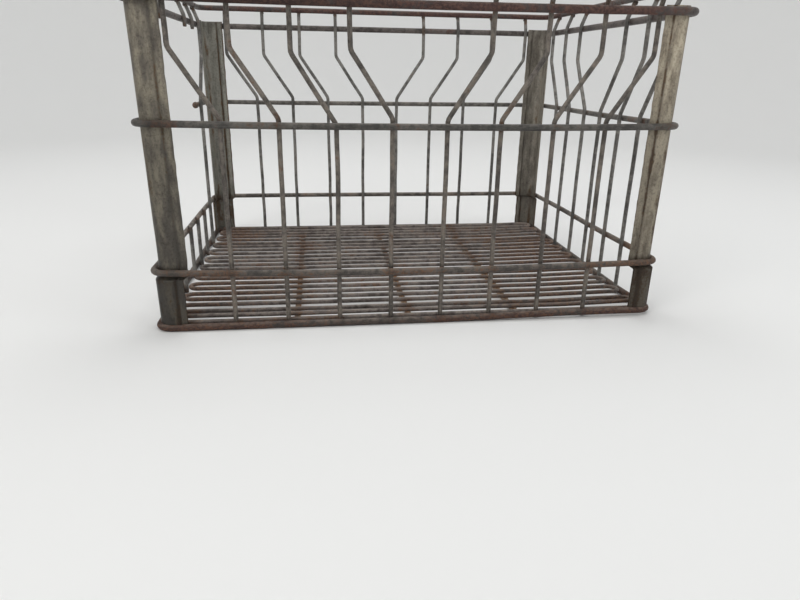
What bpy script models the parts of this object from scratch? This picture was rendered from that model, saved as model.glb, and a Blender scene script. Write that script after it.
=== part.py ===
"""Welded wire milk bottle crate with four pressed sheet corner posts.

Five wire rings wrap round the outside of four corner posts and of the upright
wires. The uprights dog-leg away from the middle of each wall, which leaves a
hand hold under the upper ring. The base is one wire bent to and fro over three
bearers, with a rod along the front and back edges. Part of the left wall has
been cut away, and its wire ends remain.

Metres, +Z up. The origin is the middle of the footprint, on the floor.
"""
import math

import bmesh
import bpy
from mathutils import Vector

MM = 0.001

# Walls: the plane in which the rings touch the posts and the uprights.
WALL_X = 216.5 * MM
WALL_Y = 168.5 * MM
GAP = 0.3 * MM

# Wire is drawn with eight sides, so its flats lie inside the round wire.
WIRE_SIDES = 8
FLAT = math.cos(math.pi / WIRE_SIDES)
BEND_STEPS = 2
CORNER_STEPS = 4

# Rings, from the floor up: wire radius, and height over the base ring.
BASE_RING_R = 3.0 * MM
BASE_RING_Z = BASE_RING_R * FLAT
LOWER_RING_R = 2.7 * MM
LOWER_RING_Z = BASE_RING_Z + 47.1 * MM
MIDDLE_RING_R = 2.7 * MM
MIDDLE_RING_Z = BASE_RING_Z + 165.6 * MM
UPPER_RING_R = 3.2 * MM
UPPER_RING_Z = BASE_RING_Z + 253.8 * MM
TOP_RIM_R = 3.0 * MM
TOP_RIM_Z = BASE_RING_Z + 274.0 * MM
RIM_OFFSET = GAP + UPPER_RING_R

# Corner posts: a pressed angle whose edges are joggled inwards. The foot is
# stepped outwards, so it stands on the base ring and carries the lower ring.
POST_LEG = 24.0 * MM
POST_RIDGE = 17.8 * MM
POST_JOGGLE = 1.5 * MM
POST_CORNER_R = 8.0 * MM
POST_SHEET = 1.2 * MM
POST_TOP_Z = UPPER_RING_Z + 4.5 * MM
FOOT_STEP = 3.8 * MM
FOOT_STEP_TOP_Z = LOWER_RING_Z - 2.2 * MM
FOOT_STEP_BOTTOM_Z = FOOT_STEP_TOP_Z - 3.5 * MM
FOOT_Z = 2.0 * BASE_RING_R * FLAT + GAP

# Upright wires.
UPRIGHT_R = 2.0 * MM
UPRIGHT_FOOT_Z = 0.5 * MM
LONG_WALL_UPRIGHTS = 8
LONG_WALL_PITCH = 44.5 * MM
SHORT_WALL_UPRIGHTS = 6
SHORT_WALL_PITCH = 42.0 * MM
SHORT_WALL_OFFSET = -6.3 * MM
POST_CLEARANCE = 0.7 * MM
DOGLEG_SHIFT = 33.3 * MM
DOGLEG_LOWER_Z = 172.7 * MM
DOGLEG_UPPER_Z = 223.3 * MM
DOGLEG_BEND_R = 8.0 * MM
LEAN_START_Z = UPPER_RING_Z + 2.4 * MM
LEAN_BEND_R = 6.0 * MM
LEAN_OUT = 3.3 * MM
UPRIGHT_TOP_Z = TOP_RIM_Z - 3.4 * MM

# The cut-away in the left wall.
CUT_UPRIGHTS = (3, 4, 5)
CUT_LOWER_Z = LOWER_RING_Z + 4.9 * MM
CUT_UPPER_Z = UPPER_RING_Z - 8.3 * MM
CUT_RING_FRONT_Y = -59.0 * MM
CUT_RING_BACK_Y = 88.0 * MM

# Base: three bearers level with the base ring between two edge rods, and the
# bent wire that lies on the bearers. Its first turn is tighter than the others.
FLOOR_END_X = 211.5 * MM
EDGE_ROD_R = 2.0 * MM
EDGE_ROD_Y = WALL_Y - 2.0 * UPRIGHT_R - GAP - EDGE_ROD_R
EDGE_ROD_Z = BASE_RING_Z + 1.3 * MM
BEARER_R = 2.7 * MM
BEARER_PITCH = 99.0 * MM
BEARER_SHIFT = -5.0 * MM
BEARER_END_Y = EDGE_ROD_Y - EDGE_ROD_R - GAP
SERPENTINE_R = 2.0 * MM
SERPENTINE_LEGS = 22
SERPENTINE_FIRST_Y = -158.6 * MM
SERPENTINE_FIRST_PITCH = 10.7 * MM
SERPENTINE_PITCH = 15.1 * MM
SERPENTINE_BEND_STEPS = 4

# Colours, linear RGB.
RUSTY_RIM = (0.070, 0.042, 0.034)
RUSTY_RING = (0.085, 0.066, 0.054)
GREY_RING = (0.080, 0.078, 0.068)
GALVANISED = (0.190, 0.175, 0.135)
UPRIGHT_GREY = (0.115, 0.100, 0.082)
BASE_RUST = (0.105, 0.072, 0.055)


def clear_scene():
    for obj in list(bpy.data.objects):
        bpy.data.objects.remove(obj, do_unlink=True)


def new_collection(name):
    collection = bpy.data.collections.new(name)
    bpy.context.scene.collection.children.link(collection)
    return collection


def metal(name, colour, roughness=0.6, metallic=0.6):
    material = bpy.data.materials.new(name)
    material.use_nodes = True
    shader = material.node_tree.nodes["Principled BSDF"]
    shader.inputs["Base Color"].default_value = (*colour, 1.0)
    shader.inputs["Roughness"].default_value = roughness
    shader.inputs["Metallic"].default_value = metallic
    return material


def arc(centre, radius, start, end, steps):
    """Points on a circle in the XY plane, both ends included."""
    angles = [start + (end - start) * i / steps for i in range(steps + 1)]
    return [
        (centre[0] + radius * math.cos(a), centre[1] + radius * math.sin(a))
        for a in angles
    ]


def bend(points, radii):
    """Round each inner corner of a path; radii holds one radius a corner."""
    path = [Vector(p) for p in points]
    out = [path[0]]
    for before, corner, after, radius in zip(path, path[1:], path[2:], radii):
        to_before = (before - corner).normalized()
        to_after = (after - corner).normalized()
        turn = math.pi - to_before.angle(to_after)
        reach = radius * math.tan(turn / 2)
        start = corner + to_before * reach
        end = corner + to_after * reach
        for i in range(BEND_STEPS + 1):
            t = i / BEND_STEPS
            out.append(start.lerp(corner, t).lerp(corner.lerp(end, t), t))
    out.append(path[-1])
    return out


def wire(name, points, radius, colour, collection, closed=False, flat=False):
    """A round wire along the points; flat turns a facet to face up and down."""
    curve = bpy.data.curves.new(name, "CURVE")
    curve.dimensions = "3D"
    curve.twist_mode = "Z_UP" if flat else "MINIMUM"
    curve.bevel_depth = radius
    curve.bevel_resolution = (WIRE_SIDES - 4) // 2
    curve.use_fill_caps = True
    spline = curve.splines.new("POLY")
    spline.points.add(len(points) - 1)
    for point, place in zip(spline.points, points):
        point.co = (*place, 1.0)
        point.tilt = math.pi / WIRE_SIDES if flat else 0.0
    spline.use_cyclic_u = closed
    spline.use_smooth = True
    curve.materials.append(metal(name, colour))
    obj = bpy.data.objects.new(name, curve)
    collection.objects.link(obj)
    return obj


def ring_corners(offset):
    """Plan of a ring whose centre line is offset outside the wall plane.

    It starts at the front of the left wall and runs round by the front.
    """
    centre_x = WALL_X - POST_CORNER_R
    centre_y = WALL_Y - POST_CORNER_R
    radius = POST_CORNER_R + offset
    corners = ((-1, -1, 180), (1, -1, 270), (1, 1, 0), (-1, 1, 90))
    plan = []
    for side_x, side_y, start in corners:
        centre = (side_x * centre_x, side_y * centre_y)
        first = math.radians(start)
        plan += arc(centre, radius, first, first + math.pi / 2, CORNER_STEPS)
    return plan


def make_ring(name, z, radius, offset, colour, collection):
    points = [(x, y, z) for x, y in ring_corners(offset)]
    return wire(name, points, radius, colour, collection, closed=True, flat=True)


def make_cut_ring(name, z, radius, offset, colour, collection):
    """A ring with a gap in its left run, where it has been cut out."""
    left = -WALL_X - offset
    plan = [(left, CUT_RING_FRONT_Y), *ring_corners(offset), (left, CUT_RING_BACK_Y)]
    points = [(x, y, z) for x, y in plan]
    return wire(name, points, radius, colour, collection, flat=True)


def make_rings(collection):
    make_ring("base_ring_wire", BASE_RING_Z, BASE_RING_R,
              GAP + BASE_RING_R, RUSTY_RING, collection)
    make_ring("lower_ring_wire", LOWER_RING_Z, LOWER_RING_R,
              GAP + LOWER_RING_R, GREY_RING, collection)
    make_cut_ring("middle_ring_wire", MIDDLE_RING_Z, MIDDLE_RING_R,
                  GAP + MIDDLE_RING_R, GREY_RING, collection)
    make_ring("upper_ring_wire", UPPER_RING_Z, UPPER_RING_R,
              RIM_OFFSET, RUSTY_RIM, collection)
    make_ring("top_rim_wire", TOP_RIM_Z, TOP_RIM_R,
              RIM_OFFSET, RUSTY_RIM, collection)


def post_plan(step):
    """Outer outline of a post, measured inwards from its two wall planes.

    step moves the whole outline outwards, as at the foot.
    """
    joggled = POST_JOGGLE - step
    leg = [
        (POST_LEG - step, joggled),
        (POST_RIDGE + POST_JOGGLE - step, joggled),
        (POST_RIDGE - step, -step),
    ]
    centre = (POST_CORNER_R, POST_CORNER_R)
    corner = arc(centre, POST_CORNER_R + step, 1.5 * math.pi, math.pi, CORNER_STEPS)
    other_leg = [(y, x) for x, y in reversed(leg)]
    return leg + corner + other_leg


def make_post(name, side_x, side_y, collection):
    levels = [
        (POST_TOP_Z, 0.0),
        (FOOT_STEP_TOP_Z, 0.0),
        (FOOT_STEP_BOTTOM_Z, FOOT_STEP),
        (FOOT_Z, FOOT_STEP),
    ]
    sheet = bmesh.new()
    rows = []
    for z, step in levels:
        rows.append([
            sheet.verts.new((side_x * (WALL_X - x), side_y * (WALL_Y - y), z))
            for x, y in post_plan(step)
        ])
    mirrored = side_x * side_y < 0
    for upper, lower in zip(rows, rows[1:]):
        for i in range(len(upper) - 1):
            corners = [upper[i], upper[i + 1], lower[i + 1], lower[i]]
            sheet.faces.new(reversed(corners) if mirrored else corners)
    mesh = bpy.data.meshes.new(name)
    sheet.to_mesh(mesh)
    sheet.free()
    mesh.materials.append(metal(name, GALVANISED, roughness=0.65, metallic=0.4))
    obj = bpy.data.objects.new(name, mesh)
    collection.objects.link(obj)
    thickness = obj.modifiers.new("sheet", "SOLIDIFY")
    thickness.thickness = POST_SHEET
    thickness.offset = -1.0
    thickness.use_even_offset = True
    return obj


def make_posts(collection):
    for front_back, side_y in (("front", -1), ("back", 1)):
        for left_right, side_x in (("left", -1), ("right", 1)):
            make_post(f"corner_post_{front_back}_{left_right}", side_x, side_y, collection)


def on_wall(wall, along, depth, z):
    """A point on a wall: along it, depth inside its plane, at a height."""
    return {
        "front": (along, depth - WALL_Y, z),
        "back": (along, WALL_Y - depth, z),
        "left": (depth - WALL_X, along, z),
        "right": (WALL_X - depth, along, z),
    }[wall]


def upright_places(count, pitch, offset, half_wall):
    """Foot and head of each upright along its wall; heads stop short of the posts."""
    limit = half_wall - POST_LEG - UPRIGHT_R - POST_CLEARANCE
    for i in range(count):
        foot = (i - (count - 1) / 2) * pitch + offset
        head = foot + math.copysign(DOGLEG_SHIFT, foot)
        yield i + 1, foot, min(max(head, -limit), limit)


def upper_end(wall, head):
    """The run from under the upper ring to the underside of the top rim."""
    return [
        on_wall(wall, head, UPRIGHT_R, LEAN_START_Z),
        on_wall(wall, head, -LEAN_OUT, UPRIGHT_TOP_Z),
    ]


def whole_upright(wall, foot, head):
    points = [
        on_wall(wall, foot, UPRIGHT_R, UPRIGHT_FOOT_Z),
        on_wall(wall, foot, UPRIGHT_R, DOGLEG_LOWER_Z),
        on_wall(wall, head, UPRIGHT_R, DOGLEG_UPPER_Z),
        *upper_end(wall, head),
    ]
    return bend(points, (DOGLEG_BEND_R, DOGLEG_BEND_R, LEAN_BEND_R))


def lower_stub(wall, foot):
    ends = (UPRIGHT_FOOT_Z, CUT_LOWER_Z)
    return [on_wall(wall, foot, UPRIGHT_R, z) for z in ends]


def upper_stub(wall, head):
    start = on_wall(wall, head, UPRIGHT_R, CUT_UPPER_Z)
    return bend([start, *upper_end(wall, head)], (LEAN_BEND_R,))


def make_uprights(collection):
    long_wall = (LONG_WALL_UPRIGHTS, LONG_WALL_PITCH, 0.0, WALL_X)
    short_wall = (SHORT_WALL_UPRIGHTS, SHORT_WALL_PITCH, SHORT_WALL_OFFSET, WALL_Y)
    walls = {
        "front": long_wall, "back": long_wall, "left": short_wall, "right": short_wall,
    }
    for wall, layout in walls.items():
        for number, foot, head in upright_places(*layout):
            name = f"{wall}_upright_{number}"
            if wall == "left" and number in CUT_UPRIGHTS:
                pieces = {
                    f"{name}_lower": lower_stub(wall, foot),
                    f"{name}_upper": upper_stub(wall, head),
                }
            else:
                pieces = {name: whole_upright(wall, foot, head)}
            for piece, points in pieces.items():
                wire(piece, points, UPRIGHT_R, UPRIGHT_GREY, collection)


def make_bearers(collection):
    for side, name in ((-1, "left"), (0, "middle"), (1, "right")):
        x = BEARER_SHIFT + side * BEARER_PITCH
        ends = [(x, y, BASE_RING_Z) for y in (-BEARER_END_Y, BEARER_END_Y)]
        wire(f"base_bearer_{name}", ends, BEARER_R, BASE_RUST, collection, flat=True)


def make_edge_rods(collection):
    for side, name in ((-1, "front"), (1, "back")):
        ends = [(x, side * EDGE_ROD_Y, EDGE_ROD_Z) for x in (-FLOOR_END_X, FLOOR_END_X)]
        wire(f"base_edge_rod_{name}", ends, EDGE_ROD_R, BASE_RUST, collection, flat=True)


def serpentine_rows():
    """The y of each leg of the bent wire."""
    second = SERPENTINE_FIRST_Y + SERPENTINE_FIRST_PITCH
    others = [second + i * SERPENTINE_PITCH for i in range(SERPENTINE_LEGS - 1)]
    return [SERPENTINE_FIRST_Y, *others]


def make_serpentine(collection):
    """The floor of the crate: one wire bent to and fro across it."""
    z = BASE_RING_Z + BEARER_R + GAP + SERPENTINE_R
    rows = serpentine_rows()
    plan = [(-FLOOR_END_X, rows[0])]
    for turn, (near, far) in enumerate(zip(rows, rows[1:])):
        side = 1 if turn % 2 == 0 else -1
        bend_r = (far - near) / 2
        centre = (FLOOR_END_X - SERPENTINE_R - bend_r, (near + far) / 2)
        half_turn = arc(centre, bend_r, -math.pi / 2, math.pi / 2, SERPENTINE_BEND_STEPS)
        plan += [(side * x, y) for x, y in half_turn]
    last_side = 1 if SERPENTINE_LEGS % 2 else -1
    plan.append((last_side * FLOOR_END_X, rows[-1]))
    points = [(x, y, z) for x, y in plan]
    wire("base_serpentine_wire", points, SERPENTINE_R, BASE_RUST, collection, flat=True)


def main():
    clear_scene()
    crate = new_collection("milk_bottle_crate")
    make_rings(crate)
    make_posts(crate)
    make_uprights(crate)
    make_bearers(crate)
    make_edge_rods(crate)
    make_serpentine(crate)


main()
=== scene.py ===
"""Looks of the wire milk bottle crate.

Each wire of the frame is replaced by a round, slightly bent, weathered wire on
the same route, with a weld at each crossing. Each corner post is replaced by
pressed sheet with rolled bends and worn edges. Metres, +Z up, frame's own axes.
"""
import math
from collections import namedtuple

import bmesh
import bpy
from mathutils import Matrix, Vector, kdtree, noise


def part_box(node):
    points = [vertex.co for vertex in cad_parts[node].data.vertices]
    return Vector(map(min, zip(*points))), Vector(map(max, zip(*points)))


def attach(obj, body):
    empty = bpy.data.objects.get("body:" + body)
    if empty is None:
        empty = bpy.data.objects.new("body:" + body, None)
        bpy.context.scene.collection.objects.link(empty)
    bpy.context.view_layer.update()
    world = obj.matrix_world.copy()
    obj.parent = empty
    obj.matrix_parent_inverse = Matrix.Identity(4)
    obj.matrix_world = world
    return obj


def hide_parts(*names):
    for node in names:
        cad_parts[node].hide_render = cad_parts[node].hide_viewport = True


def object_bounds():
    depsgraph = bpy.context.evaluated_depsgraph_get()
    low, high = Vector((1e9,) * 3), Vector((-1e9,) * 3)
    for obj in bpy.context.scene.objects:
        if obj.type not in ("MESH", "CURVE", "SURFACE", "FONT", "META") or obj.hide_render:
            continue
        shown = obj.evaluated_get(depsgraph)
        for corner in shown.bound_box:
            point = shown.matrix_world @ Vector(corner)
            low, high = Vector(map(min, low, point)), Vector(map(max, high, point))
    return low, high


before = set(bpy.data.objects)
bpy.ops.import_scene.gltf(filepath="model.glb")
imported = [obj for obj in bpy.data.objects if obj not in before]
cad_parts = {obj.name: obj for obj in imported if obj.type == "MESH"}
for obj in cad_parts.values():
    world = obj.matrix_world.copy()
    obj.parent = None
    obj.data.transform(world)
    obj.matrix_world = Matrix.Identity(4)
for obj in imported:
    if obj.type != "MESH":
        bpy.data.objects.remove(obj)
cad_low, cad_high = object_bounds()

MM = 0.001
BODY = "root"

# The solids' wires have eight sides, and they stand this far off each other.
GAP = 0.3 * MM
FLAT = math.cos(math.pi / 8)

# Wire surface: sides round it, and the spacing of its sections.
THICK_SIDES = 16
THIN_SIDES = 12
SECTION = 2.4 * MM
CORNER_RADIUS = 8.0 * MM

# Route of an upright, as heights over the floor and the reach of its bends.
DOGLEG_LOW = 172.7 * MM
DOGLEG_HIGH = 223.3 * MM
DOGLEG_RADIUS = 8.0 * MM
LEAN_RADIUS = 6.0 * MM
LEAN_RISE = 2.4 * MM
LEAN_OUT = 3.3 * MM
UPRIGHT_R = 2.0 * MM

# Floor wire, bearers and edge rods. The first turn is tighter than the others.
FLOOR_R = 2.0 * MM
FLOOR_LEGS = 22
FIRST_PITCH = 10.7 * MM
BEARER_R = 2.7 * MM
EDGE_ROD_R = 2.0 * MM

# Corner posts, measured inwards from the two wall planes.
SHEET = 1.2 * MM
POST_LEG = 24.0 * MM
POST_RIDGE = 17.8 * MM
POST_JOGGLE = 1.5 * MM
FOOT_STEP = 3.8 * MM
STEP_TOP = 47.7 * MM
STEP_BOTTOM = 44.1 * MM

# How far use has bent things.
WALL_BOW = 0.9 * MM
RING_WAVE = 0.45 * MM
UPRIGHT_SWAY = 0.5 * MM
FLOOR_SWAY = 1.1 * MM
FLOOR_JITTER = 2.4 * MM
DENT = 0.5 * MM
CORNER_LIFT = 2.4 * MM
BACK_SAG = 1.0 * MM
UPPER_SAG = 1.35 * MM

Ring = namedtuple("Ring", "radius z x y")


def srgb(red, green, blue):
    """Linear RGB of an sRGB colour given in 0 to 255."""
    def linear(value):
        value /= 255
        return value / 12.92 if value <= 0.04045 else ((value + 0.055) / 1.055) ** 2.4
    return (linear(red), linear(green), linear(blue))


# ---------------------------------------------------------------- measures

def ring_measures(node):
    """Wire radius, height and half sizes of a ring's centre line.

    The round wire stays inside the box of the eight-sided one.
    """
    low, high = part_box(node)
    radius = (high.z - low.z) / 2 / FLAT
    z = min(max((low.z + high.z) / 2, cad_low.z + radius), cad_high.z - radius)
    return Ring(radius, z, high.x - radius, high.y - radius)


RINGS = {
    name: ring_measures(name)
    for name in (
        "base_ring_wire", "lower_ring_wire", "middle_ring_wire",
        "upper_ring_wire", "top_rim_wire",
    )
}
BASE, LOWER, MIDDLE, UPPER, RIM = RINGS.values()
BASE_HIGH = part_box("base_ring_wire")[1]
WALL_X = BASE_HIGH.x - GAP - BASE.radius * (1 + FLAT)
WALL_Y = BASE_HIGH.y - GAP - BASE.radius * (1 + FLAT)


# ---------------------------------------------------------------- materials

class Shader:
    """A node material being built. Each method adds a node and gives its output."""

    def __init__(self, name, metallic, specular):
        self.material = bpy.data.materials.new(name)
        self.material.use_nodes = True
        self.tree = self.material.node_tree
        self.surface = self.tree.nodes["Principled BSDF"]
        self.surface.inputs["Metallic"].default_value = metallic
        self.surface.inputs["Specular IOR Level"].default_value = specular
        self.place = self.node("ShaderNodeTexCoord").outputs["Object"]

    def node(self, kind, **settings):
        made = self.tree.nodes.new(kind)
        for name, value in settings.items():
            setattr(made, name, value)
        return made

    def feed(self, socket, value):
        if isinstance(value, bpy.types.NodeSocket):
            self.tree.links.new(value, socket)
        elif isinstance(value, tuple):
            socket.default_value = (*value, 1.0)
        else:
            socket.default_value = value

    def noise(self, scale, detail=4.0, rough=0.55, stretch=(1, 1, 1), shift=0.0):
        """Soft noise from 0 to 1; scale is in features a metre."""
        spread = self.node("ShaderNodeMapping")
        spread.inputs["Scale"].default_value = stretch
        spread.inputs["Location"].default_value = (shift, shift * 0.7, shift * 1.3)
        self.feed(spread.inputs["Vector"], self.place)
        made = self.node("ShaderNodeTexNoise")
        made.inputs["Scale"].default_value = scale
        made.inputs["Detail"].default_value = detail
        made.inputs["Roughness"].default_value = rough
        self.feed(made.inputs["Vector"], spread.outputs["Vector"])
        return made.outputs["Fac"]

    def ramp(self, value, low, high, start=0.0, end=1.0):
        """A smooth step from start to end as value goes from low to high."""
        made = self.node("ShaderNodeMapRange", interpolation_type="SMOOTHSTEP")
        for name, given in zip(
            ("Value", "From Min", "From Max", "To Min", "To Max"),
            (value, low, high, start, end),
        ):
            self.feed(made.inputs[name], given)
        return made.outputs["Result"]

    def math(self, operation, first, second):
        made = self.node("ShaderNodeMath", operation=operation)
        self.feed(made.inputs[0], first)
        self.feed(made.inputs[1], second)
        return made.outputs["Value"]

    def total(self, *terms):
        """The sum of (value, weight) terms."""
        parts = [self.math("MULTIPLY", value, weight) for value, weight in terms]
        whole = parts[0]
        for part in parts[1:]:
            whole = self.math("ADD", whole, part)
        return whole

    def mix(self, factor, first, second, blend="MIX"):
        made = self.node("ShaderNodeMix", data_type="RGBA", blend_type=blend)
        self.feed(made.inputs["Factor"], factor)
        self.feed(made.inputs[6], first)
        self.feed(made.inputs[7], second)
        return made.outputs[2]

    def painted(self, name):
        return self.node("ShaderNodeAttribute", attribute_name=name).outputs["Fac"]

    def upward(self):
        """From 0 to 1 as the surface turns from level to facing up."""
        normal = self.node("ShaderNodeNewGeometry").outputs["Normal"]
        split = self.node("ShaderNodeSeparateXYZ")
        self.feed(split.inputs["Vector"], normal)
        return self.ramp(split.outputs["Z"], 0.15, 0.95)

    def finish(self, colour, roughness, height, depth):
        self.feed(self.surface.inputs["Base Color"], colour)
        self.feed(self.surface.inputs["Roughness"], roughness)
        bump = self.node("ShaderNodeBump")
        bump.inputs["Strength"].default_value = 0.75
        bump.inputs["Distance"].default_value = depth
        self.feed(bump.inputs["Height"], height)
        self.feed(self.surface.inputs["Normal"], bump.outputs["Normal"])
        return self.material


def weathered(name, light, dark, rust, orange, rusty, dusting_and_sheen, shift, stretch=(1, 1, 1)):
    """Old zinc or paint going to rust.

    rusty is roughly the share of the surface that has rusted. The painted
    masks "rust", "grime" and "shade" add rust, dirt and painted shade where a
    piece has them, and upward faces get dust with a painted highlight.
    """
    make = Shader(name, metallic=0.2, specular=0.4)
    patches = make.noise(24, 4, 0.6, stretch, shift)
    blotches = make.noise(150, 6, 0.65, stretch, shift + 3)
    scabs = make.noise(420, 5, 0.7, shift=shift + 5)
    grain = make.noise(1500, 3, 0.6, shift=shift + 7)
    rust_mask = make.painted("rust")
    grime_mask = make.painted("grime")

    tone = make.ramp(make.total((patches, 0.5), (blotches, 0.5)), 0.40, 0.60)
    colour = make.mix(tone, dark, light)
    eaten = make.total((patches, 0.45), (blotches, 0.35), (scabs, 0.2), (rust_mask, 0.2))
    edge = 0.66 - 0.30 * rusty
    rusted = make.ramp(eaten, edge - 0.05, edge + 0.05)
    rust_tone = make.mix(make.ramp(scabs, 0.45, 0.62), rust, orange)
    colour = make.mix(rusted, colour, rust_tone)
    speck = make.ramp(make.total((scabs, 0.6), (grain, 0.4)), 0.38, 0.52, 0.45, 1.0)
    colour = make.mix(1.0, colour, make.mix(speck, (0.25, 0.22, 0.2), (1, 1, 1)), "MULTIPLY")
    # Dust and a painted highlight: upward faces are mixed towards a pale grey-brown.
    dusty_and_sheen = make.math("MULTIPLY", make.upward(), make.ramp(blotches, 0.35, 0.65))
    colour = make.mix(make.math("MULTIPLY", dusty_and_sheen, dusting_and_sheen), colour, srgb(168, 158, 146))
    dirt = make.math("MULTIPLY", grime_mask, make.ramp(scabs, 0.3, 0.6, 0.5, 0.9))
    colour = make.mix(dirt, colour, srgb(44, 40, 37))
    # Painted shade: the "shade" mask darkens the colour towards DEEP_SHADE.
    worn = make.mix(make.painted("shade"), (1, 1, 1), DEEP_SHADE)
    colour = make.mix(1.0, colour, worn, "MULTIPLY")

    rough = make.ramp(make.total((rusted, 0.5), (blotches, 0.5)), 0.15, 0.85, 0.48, 0.86)
    height = make.total((blotches, 0.45), (scabs, 0.35), (grain, 0.2))
    return make.finish(colour, rough, height, 0.35 * MM)


# The colour that painted shade darkens towards.
DEEP_SHADE = (0.27, 0.27, 0.27)

MATERIALS = {
    "rim": weathered("weathered_rim", srgb(109, 102, 98), srgb(69, 63, 61),
                     srgb(84, 64, 61), srgb(102, 76, 67), 0.22, 0.2, 1.0),
    "middle_ring": weathered("weathered_middle_ring", srgb(125, 121, 115), srgb(81, 78, 75),
                             srgb(98, 85, 77), srgb(120, 91, 77), 0.24, 0.3, 2.0),
    "lower_ring": weathered("weathered_lower_ring", srgb(125, 117, 109), srgb(79, 74, 70),
                            srgb(104, 87, 77), srgb(126, 95, 75), 0.28, 0.3, 3.0),
    "base_ring": weathered("weathered_base_ring", srgb(90, 80, 73), srgb(59, 52, 48),
                           srgb(76, 58, 53), srgb(98, 71, 56), 0.36, 0.25, 4.0),
    # Two copies of one upright look: the front one is browner and darker, partly rust, partly painted shade.
    "front_upright": weathered("weathered_front_upright", srgb(126, 118, 109), srgb(78, 73, 69),
                               srgb(92, 78, 70), srgb(110, 84, 67), 0.24, 0.15, 5.0),
    "upright": weathered("weathered_upright", srgb(138, 135, 130), srgb(87, 85, 82),
                         srgb(96, 84, 76), srgb(112, 90, 74), 0.18, 0.2, 6.0),
    "floor": weathered("weathered_floor_wire", srgb(134, 125, 119), srgb(82, 74, 70),
                       srgb(94, 78, 71), srgb(118, 92, 75), 0.32, 0.3, 7.0),
    # Pale orange rust, made paler still as painted light against the shade under the floor wire.
    "bearer": weathered("weathered_bearer", srgb(200, 176, 150), srgb(146, 122, 102),
                        srgb(160, 124, 96), srgb(186, 142, 100), 0.40, 0.2, 8.0),
}


# ---------------------------------------------------------------- routes

def fillet(points, radii, steps=8):
    """The path with each inner corner rounded; one radius a corner."""
    path = [Vector(p) for p in points]
    out = [path[0]]
    for before, corner, after, radius in zip(path, path[1:], path[2:], radii):
        to_before = (before - corner).normalized()
        to_after = (after - corner).normalized()
        reach = radius * math.tan((math.pi - to_before.angle(to_after)) / 2)
        start = corner + to_before * reach
        end = corner + to_after * reach
        for i in range(steps + 1):
            t = i / steps
            out.append(start.lerp(corner, t).lerp(corner.lerp(end, t), t))
    out.append(path[-1])
    return out


def arc(centre, radius, start, end, steps):
    angles = [start + (end - start) * i / steps for i in range(steps + 1)]
    return [
        Vector((centre[0] + radius * math.cos(a), centre[1] + radius * math.sin(a)))
        for a in angles
    ]


def resample(points, count=None, spacing=SECTION, closed=False):
    """Points evenly spaced along a path; a closed one doesn't repeat its start."""
    path = list(points) + ([points[0]] if closed else [])
    runs = [0.0]
    for before, after in zip(path, path[1:]):
        runs.append(runs[-1] + (after - before).length)
    if count is None:
        count = max(2, round(runs[-1] / spacing))
    out = []
    at = 0
    for i in range(count if closed else count + 1):
        target = min(runs[-1] * i / count, runs[-1])
        while at < len(runs) - 2 and runs[at + 1] < target:
            at += 1
        span = runs[at + 1] - runs[at]
        t = (target - runs[at]) / span if span > 0 else 0.0
        out.append(path[at].lerp(path[at + 1], t))
    return out


def smooth(value, low, high):
    t = min(max((value - low) / (high - low), 0.0), 1.0)
    return t * t * (3 - 2 * t)


def bow(point):
    """Where a point of a wall has gone: inwards, but not at the posts or the base."""
    x, y, z = point
    moved = Vector(point)
    wave = 0.5 + 0.5 * noise.noise(Vector((x * 9, y * 9, z * 7 + 3.1)))
    wave *= smooth(z, 10 * MM, 90 * MM)
    if abs(y) > WALL_Y - 6 * MM:
        window = max(0.0, math.cos(math.pi / 2 * x / WALL_X))
        moved.y -= math.copysign(WALL_BOW * wave * window, y)
    if abs(x) > WALL_X - 6 * MM:
        window = max(0.0, math.cos(math.pi / 2 * y / WALL_Y))
        moved.x -= math.copysign(WALL_BOW * wave * window, x)
    return moved


def ring_plan(ring):
    """A ring's centre line in plan, from the front of the left wall, by the front."""
    radius = CORNER_RADIUS + ring.x - WALL_X
    plan = []
    for side_x, side_y, start in ((-1, -1, 180), (1, -1, 270), (1, 1, 0), (-1, 1, 90)):
        centre = (side_x * (ring.x - radius), side_y * (ring.y - radius))
        first = math.radians(start)
        plan += arc(centre, radius, first, first + math.pi / 2, 10)
    return plan


def ring_height(name, point):
    """Height of a ring at a place: level, but for a slow wave, a sag in front, a
    sag of the lower ring at the back, and the base ring's lifted right front."""
    ring = RINGS[name]
    wave = noise.noise(Vector((point.x * 8, point.y * 8, ring.z * 40))) * RING_WAVE
    front = smooth(-point.y, 0.0, WALL_Y)
    middle = 1 - (point.x / WALL_X) ** 2
    sag = {"lower_ring_wire": 1.5 * MM, "middle_ring_wire": 0.9 * MM}.get(name, 0.0)
    z = ring.z + wave - front * sag * (2 * middle - 1)
    if name == "upper_ring_wire":
        z -= UPPER_SAG * front * middle * (1 - 0.25 * point.x / WALL_X)
    if name == "lower_ring_wire":
        z -= BACK_SAG * smooth(point.y, 0.3 * WALL_Y, WALL_Y)
    if name == "base_ring_wire":
        z += corner_lift(point)
    room = ring.radius * WELD_SWELL
    return min(max(z, cad_low.z + room), cad_high.z - room)


def corner_lift(point):
    """How far the base has been bent up at a place near its right front corner."""
    along = smooth(point.x, -0.1 * WALL_X, WALL_X)
    return CORNER_LIFT * along * smooth(-point.y, 0.55 * WALL_Y, WALL_Y)


def on_wall(wall, along, depth, z):
    """A point on a wall: along it, depth inside its plane, at a height."""
    return Vector({
        "front": (along, depth - WALL_Y, z),
        "back": (along, WALL_Y - depth, z),
        "left": (depth - WALL_X, along, z),
        "right": (WALL_X - depth, along, z),
    }[wall])


def reach_along(node, wall):
    """How far along its wall a node's centre line goes, and its lowest and highest z."""
    low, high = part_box(node)
    axis = 0 if wall in ("front", "back") else 1
    return low[axis] + UPRIGHT_R, high[axis] - UPRIGHT_R, low.z, high.z


# ---------------------------------------------------------------- welds

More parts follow.
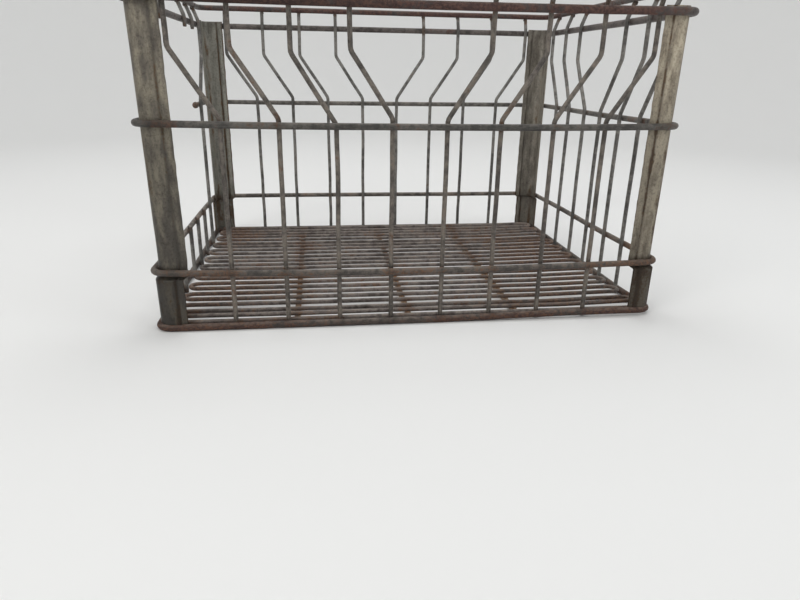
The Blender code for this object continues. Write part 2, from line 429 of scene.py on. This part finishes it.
WELDS = {}
ALONG = {
    "front": Vector((1, 0, 0)), "back": Vector((1, 0, 0)),
    "left": Vector((0, 1, 0)), "right": Vector((0, 1, 0)),
}


def note_weld(group, place, along, up, size):
    """Remembers a weld: its place, the run of one wire and of the other, its half sizes."""
    WELDS.setdefault(group, []).append((place, along, up, size))


def nearest_weld():
    tree = kdtree.KDTree(sum(len(spots) for spots in WELDS.values()))
    index = 0
    for spots in WELDS.values():
        for spot in spots:
            tree.insert(spot[0], index)
            index += 1
    tree.balance()
    return tree


# ---------------------------------------------------------------- pieces

WELD_SWELL = 1.03

def mesh_piece(name, mesh, material, slot, *replaced):
    mesh.materials.append(material)
    mesh.shade_smooth()
    piece = bpy.data.objects.new(name, mesh)
    bpy.context.scene.collection.objects.link(piece)
    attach(piece, BODY)
    if replaced:
        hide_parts(*replaced)
    return piece


def paint(mesh, **masks):
    """Stores one number a vertex under each name."""
    for name, values in masks.items():
        layer = mesh.attributes.new(name, "FLOAT", "POINT")
        layer.data.foreach_set("value", values)


def frames(path, closed):
    """A tangent and two cross directions at each point, without twist."""
    count = len(path)
    tangents = []
    for i in range(count):
        before = path[i - 1] if closed or i else path[i]
        after = path[(i + 1) % count] if closed or i < count - 1 else path[i]
        tangents.append((after - before).normalized())
    side = tangents[0].orthogonal().normalized()
    out = []
    for tangent in tangents:
        side = (side - tangent * side.dot(tangent)).normalized()
        out.append((tangent, side, tangent.cross(side)))
    return out


# Shape of a wire's last sections: (distance from the tip, width, thickness) in radii.
SAWN = ((0.0, 0.82, 0.82), (0.12, 0.97, 0.97), (0.4, 1.0, 1.0))
NIPPED = ((0.0, 0.9, 0.12), (0.35, 1.08, 0.45), (0.8, 1.06, 0.8), (1.5, 1.0, 1.0))
MELTED = (
    (0.0, 0.15, 0.15), (0.1, 0.62, 0.6), (0.4, 1.05, 1.0), (0.9, 1.32, 1.25),
    (1.5, 1.34, 1.3), (2.2, 1.12, 1.1), (3.0, 1.0, 1.0),
)


def end_sections(path, radius, shape, reverse):
    """Extra close sections at an end: (point, width, thickness), tip first."""
    ordered = list(reversed(path)) if reverse else list(path)
    inward = (ordered[1] - ordered[0]).normalized()
    return [(ordered[0] + inward * far * radius, wide, thick) for far, wide, thick in shape]


def wire(name, path, radius, material, slot, ends=(SAWN, SAWN), closed=False,
         sides=THIN_SIDES, rust_at=None, shade_at=None, stain=0.35, seed=0.0,
         replaced=None):
    """A round wire along a path, with worn skin, and rust, grime and shade masks.

    stain is how rusty and dirty it is at its welds.
    """
    sections = [(point, 1.0, 1.0) for point in path]
    if not closed:
        first = end_sections(path, radius, ends[0], False)
        last = end_sections(path, radius, ends[1], True)
        clear_first = ends[0][-1][0] * radius + 0.5 * MM
        clear_last = ends[1][-1][0] * radius + 0.5 * MM
        middle = [
            s for s in sections
            if (s[0] - path[0]).length > clear_first and (s[0] - path[-1]).length > clear_last
        ]
        sections = first + middle + last[::-1]
    points = [s[0] for s in sections]
    mesh = bmesh.new()
    rust, grime, shade, rows = [], [], [], []
    for (point, wide, thick), (_, side, up) in zip(sections, frames(points, closed)):
        near = WELD_TREE.find(point)[2]
        at_weld = math.exp(-(near / (4.5 * MM)) ** 2)
        tip = 0.0 if closed else max(
            math.exp(-(point - points[0]).length / (3 * MM)),
            math.exp(-(point - points[-1]).length / (3 * MM)),
        )
        zone = rust_at(point) if rust_at else 0.0
        # Painted shade, where the piece has it.
        shade += [shade_at(point) if shade_at else 0.0] * sides
        row = []
        for k in range(sides):
            angle = 2 * math.pi * k / sides
            offset = side * (math.cos(angle) * wide) + up * (math.sin(angle) * thick)
            skin = 1 + 0.018 * noise.noise((point + offset * radius) * 260 + Vector((seed,) * 3))
            swell = 1 + (WELD_SWELL - 1) * at_weld
            row.append(mesh.verts.new(point + offset * radius * min(skin * swell, swell)))
            rust.append(min(1.0, stain * at_weld + tip + zone))
            grime.append(min(1.0, stain * at_weld + 0.2 * tip))
        rows.append(row)
    pairs = list(zip(rows, rows[1:])) + ([(rows[-1], rows[0])] if closed else [])
    for here, there in pairs:
        for k in range(sides):
            after = (k + 1) % sides
            mesh.faces.new((here[k], here[after], there[after], there[k]))
    if not closed:
        mesh.faces.new(reversed(rows[0]))
        mesh.faces.new(rows[-1])
    data = bpy.data.meshes.new(name)
    mesh.to_mesh(data)
    mesh.free()
    paint(data, rust=rust, grime=grime, shade=shade)
    return mesh_piece(name, data, material, slot, *([replaced] if replaced else []))


def spots(*zones):
    """A mask from (x, y, reach, amount) spots in millimetres; None is any x or y."""
    def amount_at(point):
        amount = 0.0
        for x, y, reach, strength in zones:
            across = 0.0 if x is None else point.x / MM - x
            along = 0.0 if y is None else point.y / MM - y
            amount += strength * math.exp(-(math.hypot(across, along) / reach) ** 2)
        return max(0.0, amount)
    return amount_at


RING_LOOKS = {
    "base_ring_wire": ("base_ring", "ring_wire",
                       spots((-190, -172, 80, 0.9), (80, -172, 50, 0.7), (200, -172, 60, 0.7))),
    "lower_ring_wire": ("lower_ring", "ring_wire",
                        spots((200, -172, 50, 0.4), (None, -172, 40, 0.2), (222, -60, 90, 0.2))),
    "middle_ring_wire": ("middle_ring", "ring_wire",
                         spots((-196, -172, 12, 1.0), (222, -60, 70, 0.2))),
    "upper_ring_wire": ("rim", "rim_wire", spots((None, -172, 40, 0.75), (215, -172, 35, -0.6))),
    "top_rim_wire": ("rim", "rim_wire", spots((None, -172, 40, 0.75), (None, 172, 40, 0.6),
                                              (222, 60, 90, 0.6))),
}
# Painted shade on the runs that are painted darker than the rest of their ring.
RING_SHADES = {
    "lower_ring_wire": spots((None, -172, 20, 0.25), (-160, -172, 70, 0.22)),
    "middle_ring_wire": spots((None, -172, 20, 0.48), (-222, -160, 22, 0.35)),
    "upper_ring_wire": spots((-200, -172, 170, 0.7)),
}


def ring_path(name):
    ring = RINGS[name]
    plan = ring_plan(ring)
    closed = name != "middle_ring_wire"
    if not closed:
        plan = [Vector((-ring.x, cut_front)), *plan, Vector((-ring.x, cut_back))]
    path = []
    for flat in resample(plan, closed=closed):
        point = Vector((flat.x, flat.y, 0.0))
        point.z = ring_height(name, point)
        path.append(bow(point))
    return path, closed


def ring_gap():
    """Where the middle ring's left run has been cut: front and back y, from the CAD mesh."""
    left = [
        v.co.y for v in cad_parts["middle_ring_wire"].data.vertices
        if v.co.x < -MIDDLE.x and abs(v.co.y) < WALL_Y - 20 * MM
    ]
    return max(y for y in left if y < 0), min(y for y in left if y > 0)


def make_rings():
    for number, (name, (look, slot, rust_at)) in enumerate(RING_LOOKS.items()):
        path, closed = ring_path(name)
        wire(f"worn_{name}", path, RINGS[name].radius, MATERIALS[look], slot,
             ends=(NIPPED, MELTED), closed=closed, sides=THICK_SIDES, rust_at=rust_at,
             shade_at=RING_SHADES.get(name), seed=number * 5.3, replaced=name)


# How far the foot of an upright stands along its wall from where it was meant to.
FOOT_SHIFTS = {
    "left_upright_2": -4.5 * MM, "right_upright_2": -2.7 * MM,
    "right_upright_4": -1.7 * MM, "right_upright_5": 1.3 * MM,
}
# How far the two corners of a dog-leg lie over where they were meant to.
DOGLEG_RISES = {
    "front_upright_3": (-4.0 * MM, -2.5 * MM), "front_upright_4": (1.0 * MM, 0.0),
    "back": (2.5 * MM, 1.5 * MM),
}


def upright_nodes():
    for wall in ("front", "back", "left", "right"):
        for node in sorted(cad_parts):
            if node.startswith(f"{wall}_upright_"):
                yield wall, node


def lean_points(wall, head, top):
    return [
        on_wall(wall, head, UPRIGHT_R, UPPER.z + LEAN_RISE),
        on_wall(wall, head, -LEAN_OUT, top),
    ]


def upright_route(wall, node):
    """Centre line of an upright or of a stub, and the shapes of its two ends."""
    low, high, bottom, top = reach_along(node, wall)
    middle = (low + high) / 2
    if node.endswith("_lower"):
        return [on_wall(wall, middle, UPRIGHT_R, z) for z in (bottom, top)], (SAWN, NIPPED)
    top -= UPRIGHT_R * 0.45
    if node.endswith("_upper"):
        points = [on_wall(wall, middle, UPRIGHT_R, bottom), *lean_points(wall, middle, top)]
        return fillet(points, (LEAN_RADIUS,)), (NIPPED, SAWN)
    foot, head = (low, high) if middle > 0 else (high, low)
    low_rise, high_rise = DOGLEG_RISES.get(node, DOGLEG_RISES.get(wall, (0.0, 0.0)))
    points = [
        on_wall(wall, foot, UPRIGHT_R, bottom),
        on_wall(wall, foot, UPRIGHT_R, DOGLEG_LOW + low_rise),
        on_wall(wall, head, UPRIGHT_R, DOGLEG_HIGH + high_rise),
        *lean_points(wall, head, top),
    ]
    return fillet(points, (DOGLEG_RADIUS, DOGLEG_RADIUS, LEAN_RADIUS)), (SAWN, SAWN)


def knocked(route, wall, foot_shift, seed):
    """An upright's route after use: it sways between the rings, which hold it."""
    path = []
    for point in resample(route):
        point = point + ALONG[wall] * foot_shift * (1 - smooth(point.z, DOGLEG_LOW, DOGLEG_HIGH))
        held = min(abs(point.z - ring.z) for ring in RINGS.values())
        sway = UPRIGHT_SWAY * smooth(held, 2 * MM, 25 * MM)
        shift = noise.noise_vector(Vector((seed * 3.7, seed * 1.9, point.z * 16)))
        moved = point + ALONG[wall] * shift.x * sway * 1.5
        moved = moved + on_wall(wall, 0, 0.3 * sway * shift.y, 0) - on_wall(wall, 0, 0, 0)
        path.append(bow(moved))
    return path


def crossing(path, z):
    """The place where a path passes a height, or None."""
    for before, after in zip(path, path[1:]):
        if (before.z - z) * (after.z - z) <= 0 and before.z != after.z:
            return before.lerp(after, (z - before.z) / (after.z - before.z))
    return None


def plan_uprights():
    """Routes of all uprights, and a weld where each meets a ring."""
    routes = {}
    for number, (wall, node) in enumerate(upright_nodes()):
        route, ends = upright_route(wall, node)
        path = knocked(route, wall, FOOT_SHIFTS.get(node, 0.0), number + 1.0)
        routes[node] = (wall, path, ends)
        outward = on_wall(wall, 0, -1, 0) - on_wall(wall, 0, 0, 0)
        for name in RINGS:
            rough = crossing(path, RINGS[name].z)
            if name == "top_rim_wire":
                rough = path[-1]
            if rough is None:
                continue
            z = ring_height(name, rough) if name != "top_rim_wire" else rough.z - 0.4 * MM
            place = (crossing(path, z) or rough) + outward * UPRIGHT_R * 0.95
            size = (2.3 * MM, 0.9 * MM, 1.9 * MM)
            note_weld(name.replace("_wire", "_welds"), place, ALONG[wall], Vector((0, 0, 1)), size)
    return routes


def make_uprights(routes):
    for number, (node, (wall, path, ends)) in enumerate(routes.items()):
        look = "front_upright" if wall == "front" else "upright"
        wire(f"worn_{node}", path, UPRIGHT_R, MATERIALS[look], "upright_wire", ends=ends,
             seed=number * 2.9, replaced=node)


# ---------------------------------------------------------------- floor

BEARERS = {
    name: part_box(name)
    for name in ("base_bearer_left", "base_bearer_middle", "base_bearer_right")
}
EDGE_RODS = {name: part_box(name) for name in ("base_edge_rod_front", "base_edge_rod_back")}


def floor_height(x, rest):
    """Height of the floor wire: it lies on the bearers and lifts towards its right end."""
    return rest + 1.5 * MM * smooth(x, 0.55 * WALL_X, WALL_X) + 0.5 * MM * smooth(-x, 0.6 * WALL_X, WALL_X)


def floor_path():
    """The bent wire's centre line: legs across the crate, joined by turns in pairs."""
    low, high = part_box("base_serpentine_wire")
    rest = (low.z + high.z) / 2
    inner = 0.3 * MM
    first, last = low.y + FLOOR_R + inner, high.y - FLOOR_R - inner
    second = first + FIRST_PITCH
    pitch = (last - second) / (FLOOR_LEGS - 2)
    reach = high.x - FLOOR_R - inner
    places = [first]
    for leg in range(FLOOR_LEGS - 1):
        shift = 0.0 if leg in (0, FLOOR_LEGS - 2) else FLOOR_JITTER
        places.append(second + leg * pitch + shift * noise.noise(Vector((leg * 1.7, 0.4, 9.1))))
    bends = [0.0, *((after - y) / 2 for y, after in zip(places, places[1:])), 0.0]
    plan = []
    for leg, y in enumerate(places):
        side = 1 if leg % 2 == 0 else -1
        start = side * (bends[leg] - reach)
        end = side * (reach - bends[leg + 1])
        for i in range(41):
            t = i / 40
            x = start + (end - start) * t
            sway = FLOOR_SWAY * math.sin(math.pi * t) * noise.noise(Vector((x * 14, leg * 2.3, 4.7)))
            plan.append(Vector((x, y + sway)))
        if leg < FLOOR_LEGS - 1:
            turn = bends[leg + 1]
            for i in range(1, 10):
                angle = -math.pi / 2 + math.pi * i / 10
                plan.append(Vector((end + side * turn * math.cos(angle),
                                    y + turn + turn * math.sin(angle))))
    path = []
    for flat in resample(plan):
        lift = 0.4 * MM * max(0.0, noise.noise(Vector((flat.x * 12, flat.y * 60, 2.2))))
        path.append(Vector((flat.x, flat.y, floor_height(flat.x, rest) + lift)))
    return path


def plan_floor(path):
    """Welds where the floor wire crosses a bearer, and at both ends of each bearer."""
    for name, (low, high) in BEARERS.items():
        x = (low.x + high.x) / 2
        for before, after in zip(path, path[1:]):
            if (before.x - x) * (after.x - x) <= 0 and before.x != after.x:
                spot = before.lerp(after, (x - before.x) / (after.x - before.x))
                note_weld("floor_welds", spot - Vector((0, 0, FLOOR_R)), Vector((1, 0, 0)),
                          Vector((0, 1, 0)), (2.2 * MM, 0.9 * MM, 1.9 * MM))
        for y in (low.y, high.y):
            note_weld("bearer_welds", Vector((x, y, BASE.z + 0.4 * MM)), Vector((1, 0, 0)),
                      Vector((0, 0, 1)), (2.8 * MM, 1.1 * MM, 1.9 * MM))


def straight_wire(name, ends, radius, look, number):
    """A bearer or an edge rod, a little wavy from side to side."""
    start, end = ends
    along = (end - start).normalized()
    aside = Vector((along.y, along.x, 0)) * 0.2 * MM
    path = [
        p + aside * noise.noise(Vector((number * 4.1, (p.x + p.y) * 14, 1.3)))
        for p in resample(ends)
    ]
    wire(f"worn_{name}", path, radius, MATERIALS[look], "floor_wire", stain=0.1,
         rust_at=spots((-150, None, 60, 0.4), (170, None, 50, 0.4)),
         seed=40.0 + number, replaced=name)


def make_floor(path):
    zones = spots(
        (-104, None, 12, 0.2), (-5, None, 12, 0.15), (94, None, 12, 0.2), (-185, -95, 60, 0.8),
        (-190, 110, 60, 0.6), (195, 20, 80, 0.9), (150, -140, 80, 0.5),
    )
    wire("worn_base_serpentine_wire", path, FLOOR_R, MATERIALS["floor"], "floor_wire",
         rust_at=zones, stain=0.12, seed=31.0, replaced="base_serpentine_wire")
    for number, (name, (low, high)) in enumerate(BEARERS.items()):
        x = (low.x + high.x) / 2
        ends = [Vector((x, y, BASE.z)) for y in (low.y, high.y)]
        straight_wire(name, ends, BEARER_R, "bearer", number)
    for number, (name, (low, high)) in enumerate(EDGE_RODS.items()):
        y, z = (low.y + high.y) / 2, (low.z + high.z) / 2
        ends = [Vector((x, y, z)) for x in (low.x, high.x)]
        straight_wire(name, ends, EDGE_ROD_R, "floor", 5 + number)


# ---------------------------------------------------------------- posts

def post_plan(step, width):
    """Outer outline of a post, inwards from its wall planes, moved out by step."""
    joggled = POST_JOGGLE - step
    leg = [
        (width - step, joggled + 0.7 * MM),
        (width - 1.0 * MM - step, joggled),
        (POST_RIDGE + POST_JOGGLE - step, joggled),
        (POST_RIDGE - step, -step),
    ]
    corner = arc((CORNER_RADIUS,) * 2, CORNER_RADIUS + step, 1.5 * math.pi, math.pi, 12)
    start = [Vector(p) for p in leg]
    other = [Vector((y, x)) for x, y in reversed(leg)]
    first = fillet([*start, corner[0]], (0.7 * MM, 1.3 * MM, 1.0 * MM), 5)
    second = fillet([corner[-1], *other], (1.0 * MM, 1.3 * MM, 0.7 * MM), 5)
    return resample(first[:-1] + corner + second[1:], count=POST_COLUMNS)


POST_COLUMNS = 76
WORN_FLANGE = {"corner_post_front_right": 1.5 * MM}
LEANING_FOOT = {"corner_post_front_left": 1.7 * MM}
# Sides, light and dark tones (set post by post, partly as painted light), how much painted shade
# it gets downwards, how much painted shade its flanges and its corner get (painted light where
# negative), how rusty its foot is, and a seed.
POST_TONES = {
    "corner_post_front_left": ((-1, -1), srgb(160, 152, 134), srgb(98, 92, 84), 0.62,
                               -0.15, 0.25, 0.5, 11.0),
    "corner_post_front_right": ((1, -1), srgb(198, 187, 166), srgb(124, 113, 98), 0.62,
                                0.15, 0.0, 0.65, 12.0),
    "corner_post_back_left": ((-1, 1), srgb(162, 160, 150), srgb(110, 107, 99), 0.15,
                              0.25, 0.0, 0.3, 13.0),
    "corner_post_back_right": ((1, 1), srgb(172, 166, 154), srgb(118, 112, 103), 0.15,
                               0.25, 0.0, 0.3, 14.0),
}


def post_levels(low, high):
    """Heights of a post's rows, closer where its foot steps out."""
    levels = []
    z = high
    while z > low:
        levels.append(z)
        z -= 0.6 * MM if STEP_BOTTOM - 1.5 * MM < z < STEP_TOP + 1.5 * MM else 2.2 * MM
    levels.append(low)
    return levels


def make_post(name, sides, material, downward_shade, flange_shade, corner_shade, foot_rust, seed):
    side_x, side_y = sides
    width = POST_LEG - WORN_FLANGE.get(name, 0.0)
    lean = LEANING_FOOT.get(name, 0.0)
    low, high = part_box(name)
    levels = post_levels(low.z, high.z)
    sheet = bmesh.new()
    rows, rust, grime, shade = [], [], [], []
    for z in levels:
        step = FOOT_STEP * (1 - smooth(z, STEP_BOTTOM, STEP_TOP))
        row = []
        for column, (x, y) in enumerate(post_plan(step, width)):
            at = Vector((side_x * x * 24, side_y * y * 24, z * 20 + seed))
            dent = DENT * max(0.0, noise.noise(at)) * smooth(step, FOOT_STEP, 0.0)
            across = column / POST_COLUMNS
            from_edge = min(across, 1 - across) * 2
            nick = 0.45 * MM * noise.noise(Vector((z * 120, seed, across * 3))) * (1 - smooth(from_edge, 0, 0.08))
            inward = Vector((x, y)) + Vector((1, 1)) * dent * 0.7
            if from_edge < 0.08:
                inward += Vector((nick, 0)) if across < 0.5 else Vector((0, nick))
            at = Vector((side_x * (WALL_X - inward.x), side_y * (WALL_Y - inward.y), z))
            at.x -= side_x * lean * (high.z - z) / (high.z - low.z)
            at.z += corner_lift(at) * (1 - smooth(z, low.z, STEP_BOTTOM))
            row.append(sheet.verts.new(at))
            ridge = math.exp(-((from_edge - 0.32) / 0.07) ** 2)
            edge = math.exp(-from_edge / 0.03)
            under = math.exp(-((z - LOWER.z) / (9 * MM)) ** 2)
            foot = 1 - smooth(z, STEP_BOTTOM - 4 * MM, STEP_TOP + 10 * MM)
            top = math.exp(-(high.z - z) / (7 * MM))
            corner = math.exp(-((1 - from_edge) / 0.16) ** 2)
            rust.append(min(1.2, 0.65 * ridge + 0.5 * edge + 0.35 * corner + 0.3 * top
                            + 0.2 * under + foot_rust * foot))
            grime.append(min(0.85, 0.35 * ridge + 0.2 * foot + 0.35 * under + 0.2 * top))
            flange = 1 - smooth(from_edge, 0.2, 0.3)
            # Painted shade: darker towards the bottom and at the foot, and darker on the flanges and at the
            # corner (lighter where negative).
            shade.append(downward_shade * (smooth(high.z - z, 0, 0.55 * high.z) + 0.35 * foot
                                 + flange_shade * flange + corner_shade * corner))
        rows.append(row)
    mirrored = side_x * side_y < 0
    for upper, lower in zip(rows, rows[1:]):
        for i in range(len(upper) - 1):
            corners = [upper[i], upper[i + 1], lower[i + 1], lower[i]]
            sheet.faces.new(reversed(corners) if mirrored else corners)
    data = bpy.data.meshes.new(f"worn_{name}")
    sheet.to_mesh(data)
    sheet.free()
    paint(data, rust=rust, grime=grime, shade=shade)
    piece = mesh_piece(f"worn_{name}", data, material, "post_sheet", name)
    thickness = piece.modifiers.new("sheet", "SOLIDIFY")
    thickness.thickness = SHEET
    thickness.offset = -1.0
    thickness.use_even_offset = True
    soft = piece.modifiers.new("worn edges", "BEVEL")
    soft.width = 0.3 * MM
    soft.segments = 2
    soft.limit_method = "ANGLE"
    soft.angle_limit = math.radians(60)
    return piece


def make_posts():
    for name, (sides, light, dark, *shade_and_foot_rust, seed) in POST_TONES.items():
        material = weathered(f"weathered_{name}", light, dark, srgb(98, 81, 66),
                             srgb(114, 92, 70), 0.14, 0.1, seed, stretch=(1, 1, 0.3))
        make_post(name, sides, material, *shade_and_foot_rust, seed)


def plan_post_welds():
    """Two welds on each leg of a post at each ring that it meets."""
    for side_x in (-1, 1):
        for side_y in (-1, 1):
            for name in ("lower_ring_wire", "middle_ring_wire", "upper_ring_wire"):
                for from_corner in (11 * MM, 17 * MM):
                    spots_at = (
                        (Vector((side_x * (WALL_X - from_corner), side_y * WALL_Y, 0)), "front"),
                        (Vector((side_x * WALL_X, side_y * (WALL_Y - from_corner), 0)), "left"),
                    )
                    for spot, wall in spots_at:
                        spot.z = ring_height(name, spot)
                        note_weld("post_welds", spot, ALONG[wall], Vector((0, 0, 1)),
                                  (2.4 * MM, 0.8 * MM, 2.4 * MM))


# Each group of welds: its look, and the name of one of the record's materials.
WELD_LOOKS = {
    "top_rim_welds": ("rim", "rim_wire"),
    "upper_ring_welds": ("rim", "rim_wire"),
    "middle_ring_welds": ("middle_ring", "ring_wire"),
    "lower_ring_welds": ("lower_ring", "ring_wire"),
    "base_ring_welds": ("base_ring", "ring_wire"),
    "post_welds": ("lower_ring", "post_sheet"),
    "floor_welds": ("bearer", "floor_wire"),
    "bearer_welds": ("bearer", "floor_wire"),
}


def make_welds():
    """One piece a group: a flattened lumpy bead at each place."""
    for group, spots_at in WELDS.items():
        mesh = bmesh.new()
        # The welds on those runs get the rings' painted shade too.
        shade_at = RING_SHADES.get(group.replace("_welds", "_wire"))
        rust, grime, shade = [], [], []
        for number, (place, along, up, size) in enumerate(spots_at):
            out = along.cross(up)
            turn = Matrix((along, out, up)).transposed()
            made = bmesh.ops.create_uvsphere(mesh, u_segments=12, v_segments=8, radius=1.0)
            for vert in made["verts"]:
                lump = 1 + 0.28 * noise.noise(vert.co * 1.6 + Vector((number * 2.7, place.x * 90, 1)))
                scaled = Vector([c * s for c, s in zip(vert.co * lump, size)])
                vert.co = place + turn @ scaled
                rust.append(0.3)
                grime.append(0.2)
                shade.append(shade_at(vert.co) if shade_at else 0.0)
        data = bpy.data.meshes.new(group)
        mesh.to_mesh(data)
        mesh.free()
        paint(data, rust=rust, grime=grime, shade=shade)
        look, slot = WELD_LOOKS[group]
        mesh_piece(group, data, MATERIALS[look], slot)


# ---------------------------------------------------------------- stage

def plain(name, colour, roughness):
    material = bpy.data.materials.new(name)
    material.use_nodes = True
    shader = material.node_tree.nodes["Principled BSDF"]
    shader.inputs["Base Color"].default_value = (*colour, 1.0)
    shader.inputs["Roughness"].default_value = roughness
    shader.inputs["Specular IOR Level"].default_value = 0.2
    return material


def make_stage():
    """A pale round floor that sweeps up into a wall, so no edge shows from any side."""
    flat, curve, height = 1.5, 0.9, 2.4
    profile = [Vector((0.0, 0.0)), Vector((flat, 0.0))]
    profile += [
        Vector((flat + curve * math.sin(a), curve - curve * math.cos(a)))
        for a in (math.pi / 2 * i / 12 for i in range(1, 13))
    ]
    profile.append(Vector((flat + curve, height)))
    turns = 64
    mesh = bmesh.new()
    rings = []
    for radius, z in profile[1:]:
        rings.append([
            mesh.verts.new((radius * math.cos(2 * math.pi * k / turns),
                            radius * math.sin(2 * math.pi * k / turns), z))
            for k in range(turns)
        ])
    mesh.faces.new(rings[0])
    for inner, outer in zip(rings, rings[1:]):
        for k in range(turns):
            after = (k + 1) % turns
            mesh.faces.new((inner[k], outer[k], outer[after], inner[after]))
    data = bpy.data.meshes.new("studio_floor")
    mesh.to_mesh(data)
    mesh.free()
    data.shade_smooth()
    data.materials.append(plain("studio_paper", srgb(238, 238, 237), 0.9))
    floor = bpy.data.objects.new("studio_floor", data)
    bpy.context.scene.collection.objects.link(floor)


def area_light(name, place, aim, size, power, colour):
    data = bpy.data.lights.new(name, "AREA")
    data.shape = "DISK"
    data.size = size
    data.energy = power
    data.color = colour
    light = bpy.data.objects.new(name, data)
    light.location = place
    light.rotation_euler = (Vector(aim) - Vector(place)).to_track_quat("-Z", "Y").to_euler()
    bpy.context.scene.collection.objects.link(light)


def make_lights():
    centre = (0, 0, 0.12)
    area_light("key_light", (-1.0, -1.1, 1.35), centre, 0.9, 8.5, (1.0, 0.985, 0.96))
    area_light("fill_light", (1.2, -0.9, 0.9), centre, 1.0, 3.7, (0.95, 0.98, 1.0))
    area_light("top_light", (0.1, 0.5, 1.9), centre, 1.4, 11.7, (1.0, 1.0, 1.0))
    world = bpy.data.worlds.new("studio_air")
    world.use_nodes = True
    back = world.node_tree.nodes["Background"]
    back.inputs["Color"].default_value = (0.98, 0.99, 1.0, 1.0)
    back.inputs["Strength"].default_value = 0.53
    bpy.context.scene.world = world


def make_camera():
    """A little over half a metre in front, over the crate's rim, looking down into it."""
    data = bpy.data.cameras.new("camera")
    data.sensor_width = 36.0
    data.lens = 27.543
    camera = bpy.data.objects.new("camera", data)
    place = Matrix.Translation((-0.08215, -0.66659, 0.20939))
    yaw = Matrix.Rotation(-0.1353, 4, "Z")
    pitch = Matrix.Rotation(math.pi / 2 - 0.3587, 4, "X")
    roll = Matrix.Rotation(0.0171, 4, "Z")
    camera.matrix_world = place @ yaw @ pitch @ roll
    bpy.context.scene.collection.objects.link(camera)
    bpy.context.scene.camera = camera


make_camera()
make_lights()
make_stage()

cut_front, cut_back = ring_gap()
upright_routes = plan_uprights()
floor_route = floor_path()
plan_floor(floor_route)
plan_post_welds()
WELD_TREE = nearest_weld()

make_rings()
make_uprights(upright_routes)
make_floor(floor_route)
make_posts()
make_welds()

bpy.context.scene.view_settings.view_transform = "Standard"
